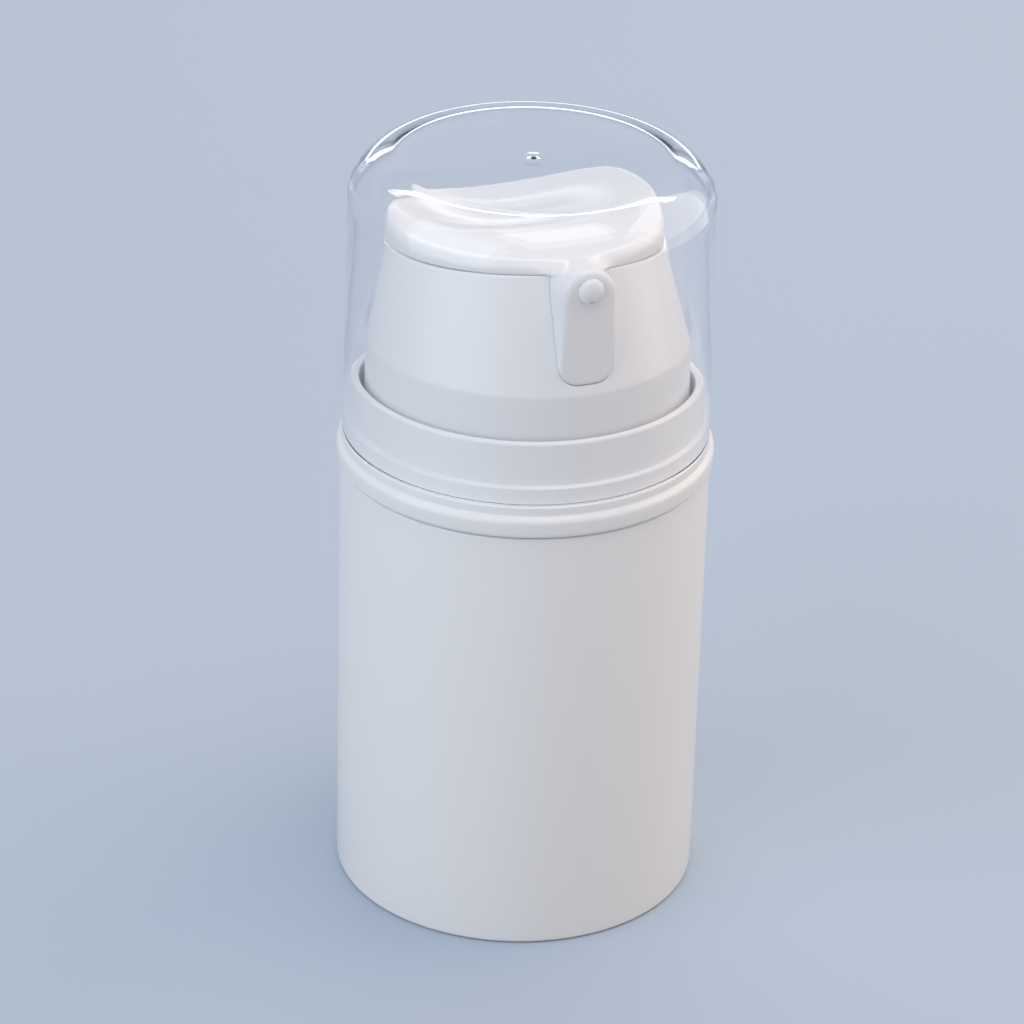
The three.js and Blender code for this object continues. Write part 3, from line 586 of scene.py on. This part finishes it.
class LOTION_OT_body(PieceOperator, bpy.types.Operator):
    """Bottle body with its neck and spigot, and the vented plug in its foot"""

    bl_idname = "lotion.body"
    bl_label = "Bottle Body"

    def execute(self, context):
        s = sizes()
        bore = s.body_radius - s.body_wall
        recess = bore + 0.4 * MM
        spigot = s.collar_radius - 1.55 * MM
        spigot_top = s.collar_ledge - 1.15 * MM
        spigot_bore = spigot - 1.3 * MM
        neck = 14.95 * MM
        neck_bore = neck - 1.7 * MM
        neck_top = high("bottle_body").z
        shoulder = s.body_top - 1.6 * MM
        seat = 2.0 * MM
        bead = (s.body_top + spigot_top) / 2
        neck_bead = s.body_top + 0.65 * (neck_top - s.body_top)
        body = turned(
            "bottle_body_fine",
            profile(
                (recess, 0.0),
                (s.body_radius, 0.0, s.foot_rounding),
                (s.body_radius, s.body_top, SOFTENED),
                (spigot, s.body_top),
                (spigot, bead - 2 * SNAP),
                (spigot + SNAP, bead, SOFTENED),
                (spigot, bead + 2 * SNAP),
                (spigot, spigot_top, SOFTENED),
                (spigot_bore, spigot_top),
                (spigot_bore, s.body_top),
                (neck, s.body_top),
                (neck, neck_bead - 2 * SNAP),
                (neck + SNAP, neck_bead, SOFTENED),
                (neck, neck_bead + 2 * SNAP),
                (neck, neck_top, SOFTENED),
                (neck_bore, neck_top),
                (neck_bore, shoulder),
                (bore, shoulder),
                (bore, seat),
                (recess, seat),
            ),
            white_plastic(),
        )
        settle(body, "bottle", "white_plastic", "bottle_body")

        under = low("base_plug").z
        top = high("base_plug").z
        vent, boss = 0.8 * MM, 2.5 * MM
        groove_in, groove_out, groove_deep = 15.15 * MM, 16.45 * MM, 0.3 * MM
        dish, slope = 0.2 * MM, 0.15 * MM
        rim = recess - SEAM
        skirt = bore - 0.1 * MM
        skirt_bore = skirt - 1.2 * MM
        plug = turned(
            "base_plug_fine",
            profile(
                (vent, under + dish),
                (boss - dish / 2, under + dish),
                (boss + dish / 2, under, 0.1 * MM),
                (groove_in - slope, under),
                (groove_in + slope, under + groove_deep, slope),
                (groove_out - slope, under + groove_deep, slope),
                (groove_out + slope, under),
                (rim, under, 0.35 * MM),
                (rim, seat - SEAT),
                (skirt, seat - SEAT),
                (skirt, top, 0.2 * MM),
                (skirt_bore, top),
                (skirt_bore, seat - SEAT, 0.4 * MM),
                (vent, seat - SEAT),
            ),
            white_plastic(),
        )
        settle(plug, "bottle", "white_plastic", "base_plug")
        return {"FINISHED"}


class LOTION_OT_collar(PieceOperator, bpy.types.Operator):
    """Collar with its shoulder bead, overcap ledge and guide ring"""

    bl_idname = "lotion.collar"
    bl_label = "Collar"

    def execute(self, context):
        s = sizes()
        base = s.body_top + SEAM
        inner = s.collar_radius - 1.4 * MM
        land = s.cap_radius - s.cap_wall - 0.1 * MM
        ring = 19.55 * MM
        guide = ring - 0.9 * MM
        under = s.collar_ledge - 1.1 * MM
        bead_top, step = s.collar_ledge - 1.65 * MM, s.collar_ledge - 1.05 * MM
        land_top, ring_foot = s.collar_ledge + 2.0 * MM, s.collar_ledge + 2.1 * MM
        groove = (s.body_top + under - SEAT) / 2
        collar = turned(
            "collar_fine",
            profile(
                (inner, base),
                (s.collar_radius, base, 0.9 * MM),
                (s.collar_radius, bead_top, s.collar_rounding),
                (s.cap_radius, step, 0.25 * MM),
                (s.cap_radius, s.collar_ledge, 0.2 * MM),
                (land, s.collar_ledge, 0.2 * MM),
                (land, land_top, 0.25 * MM),
                (ring, ring_foot, 0.1 * MM),
                (ring, s.collar_rim, 0.55 * MM),
                (guide, s.collar_rim, SOFTENED),
                (guide, under),
                (inner, under),
                (inner, groove + 2 * SNAP),
                (inner + SNAP, groove, SOFTENED),
                (inner, groove - 2 * SNAP),
            ),
            white_plastic(),
        )
        settle(collar, "bottle", "white_plastic", "collar")
        return {"FINISHED"}


class LOTION_OT_overcap(PieceOperator, bpy.types.Operator):
    """Clear overcap with a rounded top edge and a small gate mark"""

    bl_idname = "lotion.overcap"
    bl_label = "Overcap"

    def execute(self, context):
        s = sizes()
        top = s.cap_radius - s.cap_draft
        ceiling = s.cap_top - 1.2 * MM
        gate, gate_crown = 1.1 * MM, 0.5 * MM
        gate_edge, gate_top = s.cap_top + 0.09 * MM, s.cap_top + 0.1 * MM
        cap = turned(
            "overcap_fine",
            profile(
                (0.0, ceiling),
                (top - s.cap_wall, ceiling, s.cap_inner_edge),
                (s.cap_radius - s.cap_wall, s.cap_mouth, 0.1 * MM),
                (s.cap_radius, s.cap_mouth, 0.1 * MM),
                (top, s.cap_top, s.cap_edge),
                (gate, s.cap_top, SOFTENED),
                (0.45 * gate, gate_edge, gate_crown),
                (0.0, gate_top),
            ),
            clear_plastic(),
        )
        cap.visible_shadow = False
        cap.visible_diffuse = False
        settle(cap, "overcap", "clear_plastic", "overcap")
        return {"FINISHED"}


def spout_outline(room):
    """Points (x, z) round the spout's face, with some room round it"""
    s = sizes()
    half = s.spout_width / 2 + room
    axis = s.hood_top - s.spout_width / 2
    bottom = low("actuator_hood").z - room
    corner = s.spout_corner + room
    arch_steps, corner_steps = 32, 12
    points = []
    for k in range(arch_steps + 1):
        angle = math.pi * k / arch_steps
        points.append((half * math.cos(angle), axis + half * math.sin(angle)))
    for centre, start in ((corner - half, math.pi), (half - corner, 1.5 * math.pi)):
        for k in range(corner_steps + 1):
            angle = start + math.pi / 2 * k / corner_steps
            points.append((centre + corner * math.cos(angle), bottom + corner + corner * math.sin(angle)))
    return points


def prism(name, rings):
    """Closed solid through rings of equally many points"""
    count = len(rings[0])
    vertices = [point for ring in rings for point in ring]
    faces = [list(range(count))[::-1], list(range(len(vertices) - count, len(vertices)))]
    for r in range(len(rings) - 1):
        for k in range(count):
            a, b = r * count + k, r * count + (k + 1) % count
            faces.append((a, b, b + count, a + count))
    piece = new_piece(name, vertices, faces)
    tidy_mesh(piece)
    return piece


def spout_block(name, front, back, room):
    """Block with the spout's outline, from front to back"""
    return prism(name, [[(x, y, z) for x, z in spout_outline(room)] for y in (back, front)])


def round_meet(a, b, radius):
    """Distance to where two solids overlap, with their shared edge rounded"""
    return np.minimum(-radius, np.maximum(a, b)) + np.hypot(np.maximum(radius + a, 0), np.maximum(radius + b, 0))


def fair_join(a, b, reach):
    """Distance to two solids joined with a fillet"""
    mix = np.maximum(0.0, reach - np.abs(a - b)) / reach
    return np.minimum(a, b) - mix * mix * reach / 4


def hood_field(x, y, z):
    """Distance to the hood: the scooped pad, its spigot, the spout and the stem's socket with its way out"""
    s = sizes()
    wall, lip, under, fairing = 1.3 * MM, 1.2 * MM, 0.35 * MM, 2.6 * MM
    ring_down, ring_half = 0.7 * MM, 1.1 * MM
    socket_radius, socket_depth = 4.38 * MM, 4.15 * MM
    stem_radius, riser_radius = 2.98 * MM, 1.6 * MM
    pipe_radius, pipe_bore = 2.1 * MM, 1.1 * MM
    foot_share = 0.3
    half = s.spout_width / 2
    centre = setback()
    front = low("actuator_hood").y
    bottom = low("actuator_hood").z
    outlet = (low("nozzle_tip").z + high("nozzle_tip").z) / 2
    stem_top = high("stem").z
    out = np.hypot(x, y - centre)
    off_axis = np.hypot(x, y)
    parting = parting_at(y)
    over_pad = z - pad_at(x, y)

    arch = np.hypot(x, z - s.hood_top + half) - half
    across = np.abs(x) - half + s.spout_corner
    below = bottom + s.spout_corner - z
    foot = np.minimum(np.maximum(across, below), 0) - s.spout_corner
    foot = foot + np.hypot(np.maximum(across, 0), np.maximum(below, 0))
    face = np.where(z > s.hood_top - half, arch, foot)
    rising = smoothstep(z, bottom + s.spout_corner, s.hood_top - half)
    edge = s.spout_edge * (foot_share + (1 - foot_share) * rising)
    spout = np.maximum(round_meet(face, front - y, edge), y - centre + s.hood_radius - 2 * wall)

    spigot = s.hood_radius + SKIRT_LEDGE - s.skirt_wall - SEAM
    hollow = np.maximum(out - spigot + wall, over_pad + wall)
    pad = round_meet(fair_join(out - s.hood_radius, spout, fairing), over_pad, lip)
    pad = np.maximum(round_meet(pad, parting + SEAT - z, under), -hollow)
    ring = np.maximum(np.maximum(out - spigot, spigot - wall - out), np.abs(z - parting + ring_down) - ring_half)
    socket = np.maximum(np.maximum(off_axis - socket_radius, stem_top - socket_depth - z), over_pad + wall / 2)
    reach = np.hypot(x, z - outlet)
    pipe = np.maximum(np.maximum(reach - pipe_radius, over_pad + wall / 2), np.maximum(y, front + wall - y))
    solid = np.minimum(np.minimum(np.minimum(pad, spout), np.minimum(ring, socket)), pipe)
    stem_way = np.maximum(off_axis - stem_radius, z - stem_top - SEAT)
    riser = np.maximum(off_axis - riser_radius, z - outlet)
    way_out = np.maximum(reach - pipe_bore, y)
    return np.maximum(solid, -np.minimum(np.minimum(stem_way, riser), way_out))


def nozzle_field(x, y, z):
    """Distance to the nozzle tip: a shank, a dome on the spout's face and an outlet under the dome"""
    radius = sizes().nozzle_radius
    shank_radius, shank_length = 1.05 * MM, 4.0 * MM
    bore_radius, bore_share, outlet_radius = 0.5 * MM, 0.35, 0.3 * MM
    dip = math.radians(68.0)
    ahead = low("actuator_hood").y - y
    tall = low("actuator_hood").y - low("nozzle_tip").y
    rise = z - (low("nozzle_tip").z + high("nozzle_tip").z) / 2
    out = np.hypot(x, rise)
    shank = np.maximum(np.maximum(out - shank_radius, -ahead - shank_length), ahead - tall / 2)
    dome = np.maximum((np.hypot(out / radius, ahead / tall) - 1) * tall, SEAT - ahead)
    bore = np.maximum(out - bore_radius, ahead - bore_share * tall)
    outlet = np.hypot(x, ahead * math.sin(dip) + rise * math.cos(dip)) - outlet_radius
    outlet = np.maximum(outlet, rise * math.sin(dip) - ahead * math.cos(dip))
    return np.maximum(np.minimum(shank, dome), -np.minimum(bore, outlet))


def moulded(name, field, lowest, highest, step):
    """Closed mesh round the places where a field is below zero, with a vertex in each cell that it crosses"""
    axes = [np.arange(a - 2 * step, b + 3 * step, step) for a, b in zip(lowest, highest)]
    value = field(*np.meshgrid(*axes, indexing="ij"))
    inside = value < 0
    shape = [n - 1 for n in value.shape]
    total = np.zeros(shape + [3])
    count = np.zeros(shape)

    def shifted(offset):
        return value[tuple(slice(o, o + n) for o, n in zip(offset, shape))]

    for axis in range(3):
        for u, v in ((0, 0), (0, 1), (1, 0), (1, 1)):
            start = np.roll([0, u, v], axis)
            end = np.roll([1, u, v], axis)
            a, b = shifted(start), shifted(end)
            crossed = (a < 0) != (b < 0)
            share = np.where(crossed, a / np.where(crossed, a - b, 1.0), 0.0)
            count += crossed
            total += start * crossed[..., None]
            total[..., axis] += share
    used = count > 0
    number = np.full(shape, -1)
    number[used] = np.arange(used.sum())
    points = (np.argwhere(used) + total[used] / count[used][:, None]) * step + [axis[0] for axis in axes]
    faces = []
    for axis in range(3):
        step_on = np.roll([1, 0, 0], axis)
        u, v = np.roll([0, 1, 0], axis), np.roll([0, 0, 1], axis)
        near = inside[tuple(slice(0, n) for n in shape)]
        far = inside[tuple(slice(o, o + n) for o, n in zip(step_on, shape))]
        for here, turn in ((near & ~far, 1), (far & ~near, -1)):
            at = np.argwhere(here)
            quad = np.stack([number[tuple((at - c).T)] for c in (u + v, v, 0 * u, u)], axis=1)
            faces.append(quad[:, ::turn])
    return new_piece(name, points.tolist(), np.concatenate(faces).tolist())


class LOTION_OT_hood(PieceOperator, bpy.types.Operator):
    """Pressing pad with its scoop and spout, and the domed nozzle tip"""

    bl_idname = "lotion.hood"
    bl_label = "Actuator Hood"

    def execute(self, context):
        hood = moulded("actuator_hood_fine", hood_field, low("actuator_hood"), high("actuator_hood"), 0.2 * MM)
        ease = hood.modifiers.new("ease", "SMOOTH")
        ease.factor = 0.5
        ease.iterations = 2
        apply_modifiers(hood)
        tidy_mesh(hood, 180.0)
        hood.data.materials.append(white_plastic())
        settle(hood, "actuator", "white_plastic", "actuator_hood")

        tip = moulded("nozzle_tip_fine", nozzle_field, low("nozzle_tip"), high("nozzle_tip"), 0.06 * MM)
        tidy_mesh(tip, 180.0)
        tip.data.materials.append(white_plastic())
        settle(tip, "actuator", "white_plastic", "nozzle_tip")
        return {"FINISHED"}


class LOTION_OT_skirt(PieceOperator, bpy.types.Operator):
    """Leaning skirt with the slot that the spout stands in"""

    bl_idname = "lotion.skirt"
    bl_label = "Actuator Skirt"

    def execute(self, context):
        s = sizes()
        parting = s.band_top + s.cone_height
        top = s.hood_radius + SKIRT_LEDGE
        inner = s.skirt_radius - s.skirt_wall
        skirt = turned(
            "actuator_skirt_fine",
            profile(
                (inner, s.skirt_low, 0.2 * MM),
                (s.skirt_radius, s.skirt_low, SOFTENED),
                (s.skirt_radius, s.band_top, 4.0 * MM),
                (top, parting, SOFTENED),
                (top - s.skirt_wall, parting),
                (inner, s.band_top, 3.0 * MM),
            ),
            white_plastic(),
        )
        for vertex in skirt.data.vertices:
            share = min(1.0, max(0.0, (vertex.co.z - s.band_top) / s.cone_height))
            vertex.co.y += setback() * share
            vertex.co.z += (parting_at(vertex.co.y) - parting) * share
        front, back, room = low("actuator_hood").y - 2.0 * MM, -4.0 * MM, 0.03 * MM
        cut(skirt, spout_block("slot", front, back, room))
        tidy_mesh(skirt)
        settle(skirt, "actuator", "white_plastic", "actuator_skirt")
        return {"FINISHED"}


class LOTION_OT_spring(PieceOperator, bpy.types.Operator):
    """Return spring, built at one fixed length; in the pump it shortens with the stroke"""

    bl_idname = "lotion.spring"
    bl_label = "Return Spring"

    def execute(self, context):
        bottom, top = low("return_spring").z, high("return_spring").z
        wire = 0.45 * MM
        spring = new_piece("return_spring_fine")
        run_tree(
            spring,
            spring_tree(),
            coil_radius=high("return_spring").x - wire,
            wire_radius=wire,
            turns=6.0,
            bottom=bottom + wire,
            height=top - bottom - 2 * wire,
            material=steel(),
        )
        tidy_mesh(spring, 60.0)
        settle(spring, "bottle", "steel", "return_spring")
        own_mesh(spring)
        return {"FINISHED"}


class LOTION_OT_pump(PieceOperator, bpy.types.Operator):
    """Finishes of the pump's inner pieces"""

    bl_idname = "lotion.pump"
    bl_label = "Pump Pieces"

    def execute(self, context):
        finishes = {
            "natural_plastic": natural_plastic(),
            "soft_plastic": soft_plastic(),
            "gasket_rubber": gasket_rubber(),
            "steel": steel(),
            "white_plastic": white_plastic(),
            "clear_plastic": clear_plastic(),
        }
        for part in frame["record"]["subparts"]:
            solid = frame["nodes"][part["node"]]
            solid.data.materials.clear()
            solid.data.materials.append(finishes[part["material_slot"]])
        return {"FINISHED"}


def area_light(name, place, width, height, power, tint):
    """Rectangular lamp that faces the bottle and stays out of the picture"""
    light = bpy.data.lights.new(name, "AREA")
    light.shape = "RECTANGLE"
    light.size = width
    light.size_y = height
    light.energy = power
    light.color = tint
    lamp = bpy.data.objects.new(name, light)
    lamp.location = place
    lamp.visible_camera = False
    lamp.rotation_euler = (Vector(LAMP_AIM) - Vector(place)).to_track_quat("-Z", "Y").to_euler()
    bpy.context.scene.collection.objects.link(lamp)


def seen_share(tree):
    """1 for rays that show a surface to the camera, straight or by way of gloss or glass"""
    path = node(tree, "ShaderNodeLightPath").outputs
    direct = maths(tree, "MAXIMUM", path["Is Camera Ray"], path["Is Transmission Ray"])
    return maths(tree, "MAXIMUM", direct, path["Is Glossy Ray"])


LAMP_AIM = (0.0, 0.0, 0.055)
LAMPS = (
    ("high_strip", (0.2, 0.53, 0.65), 1.1, 0.07, 1.1, (1.0, 1.0, 1.0)),
    ("rim_strip", (0.33, 0.84, 0.19), 0.8, 0.08, 0.6, (1.0, 1.0, 1.0)),
    ("left_box", (-0.72, -0.2, 0.42), 0.9, 0.9, 3.2, (0.66, 0.84, 1.0)),
    ("right_box", (0.72, 0.0, 0.42), 0.8, 0.8, 2.6, (1.0, 0.87, 0.77)),
    ("front_box", (0.08, -0.3, 1.0), 0.8, 0.6, 2.7, (1.0, 0.93, 0.91)),
)


class LOTION_OT_stage(PieceOperator, bpy.types.Operator):
    """Camera, floor, lamps and backdrop"""

    bl_idname = "lotion.stage"
    bl_label = "Studio"

    def execute(self, context):
        scene = context.scene
        scene.view_settings.view_transform = "Standard"

        turn = math.radians(22.0)
        pitch = math.radians(27.15)
        heading = math.radians(21.83)
        roll = math.radians(1.6)
        away, up_to = 0.4395, 0.2713
        level = math.cos(pitch)
        ahead = Vector((math.sin(heading) * level, math.cos(heading) * level, -math.sin(pitch)))
        right = ahead.cross(Vector((0, 0, 1))).normalized()
        up = right.cross(ahead)
        across = math.cos(roll) * right + math.sin(roll) * up
        upright = -math.sin(roll) * right + math.cos(roll) * up
        lens = bpy.data.cameras.new("photo_view")
        lens.sensor_width = 36.0
        lens.lens = 148.3
        lens.clip_start = 0.01
        camera = bpy.data.objects.new("photo_view", lens)
        camera.matrix_world = Matrix(
            (
                (across.x, upright.x, -ahead.x, -away * math.sin(turn)),
                (across.y, upright.y, -ahead.y, -away * math.cos(turn)),
                (across.z, upright.z, -ahead.z, up_to),
                (0, 0, 0, 1),
            )
        )
        scene.collection.objects.link(camera)
        scene.camera = camera

        span, drop = 4.0, -2e-5
        corners = [(-span, -span, drop), (span, -span, drop), (span, span, drop), (-span, span, drop)]
        floor = new_piece("floor", corners, [(0, 1, 2, 3)])
        paper, tree, shader = new_material("floor_paper")
        surface = surface_node(tree, colour=colours().floor, colour_drift=0.01, roughness=0.6, patch_scale=4.0)
        shown = node(tree, "ShaderNodeMix", data_type="RGBA")
        shown.inputs["A"].default_value = colours().bounce
        tree.links.new(seen_share(tree), shown.inputs["Factor"])
        tree.links.new(surface.outputs["Colour"], shown.inputs["B"])
        tree.links.new(shown.outputs["Result"], shader.inputs["Base Color"])
        tree.links.new(surface.outputs["Roughness"], shader.inputs["Roughness"])
        floor.data.materials.append(paper)

        sky = bpy.data.worlds.new("studio")
        sky.use_nodes = True
        tree = sky.node_tree
        glow = tree.nodes["Background"]
        glow.inputs["Color"].default_value = (1.0, 0.93, 0.91, 1.0)
        glow.inputs["Strength"].default_value = 0.43
        seen = node(tree, "ShaderNodeBackground")
        seen.inputs["Color"].default_value = colours().horizon
        mix = node(tree, "ShaderNodeMixShader")
        tree.links.new(seen_share(tree), mix.inputs["Fac"])
        tree.links.new(glow.outputs[0], mix.inputs[1])
        tree.links.new(seen.outputs[0], mix.inputs[2])
        tree.links.new(mix.outputs[0], tree.nodes["World Output"].inputs["Surface"])
        scene.world = sky
        for lamp in LAMPS:
            area_light(*lamp)
        return {"FINISHED"}


class LOTION_PT_panel(bpy.types.Panel):
    """Sizes, colours and steps of the lotion bottle"""

    bl_idname = "LOTION_PT_panel"
    bl_label = "Airless Lotion Bottle"
    bl_space_type = "VIEW_3D"
    bl_region_type = "UI"
    bl_category = "Lotion"

    def draw(self, context):
        for group in (context.scene.lotion_sizes, context.scene.lotion_colours):
            for name in group.__annotations__:
                self.layout.prop(group, name)
        for operator in STEPS:
            self.layout.operator(operator.bl_idname)


STEPS = (
    LOTION_OT_pump,
    LOTION_OT_body,
    LOTION_OT_collar,
    LOTION_OT_skirt,
    LOTION_OT_hood,
    LOTION_OT_overcap,
    LOTION_OT_spring,
    LOTION_OT_stage,
)
CLASSES = (LotionSizes, LotionColours, *STEPS, LOTION_PT_panel)


def register():
    for kind in CLASSES:
        bpy.utils.register_class(kind)
    bpy.types.Scene.lotion_sizes = PointerProperty(type=LotionSizes)
    bpy.types.Scene.lotion_colours = PointerProperty(type=LotionColours)


def unregister():
    del bpy.types.Scene.lotion_colours
    del bpy.types.Scene.lotion_sizes
    for kind in reversed(CLASSES):
        bpy.utils.unregister_class(kind)


def main():
    register()
    for operator in STEPS:
        family, name = operator.bl_idname.split(".")
        getattr(getattr(bpy.ops, family), name)()


if __name__ == "__main__":
    main()
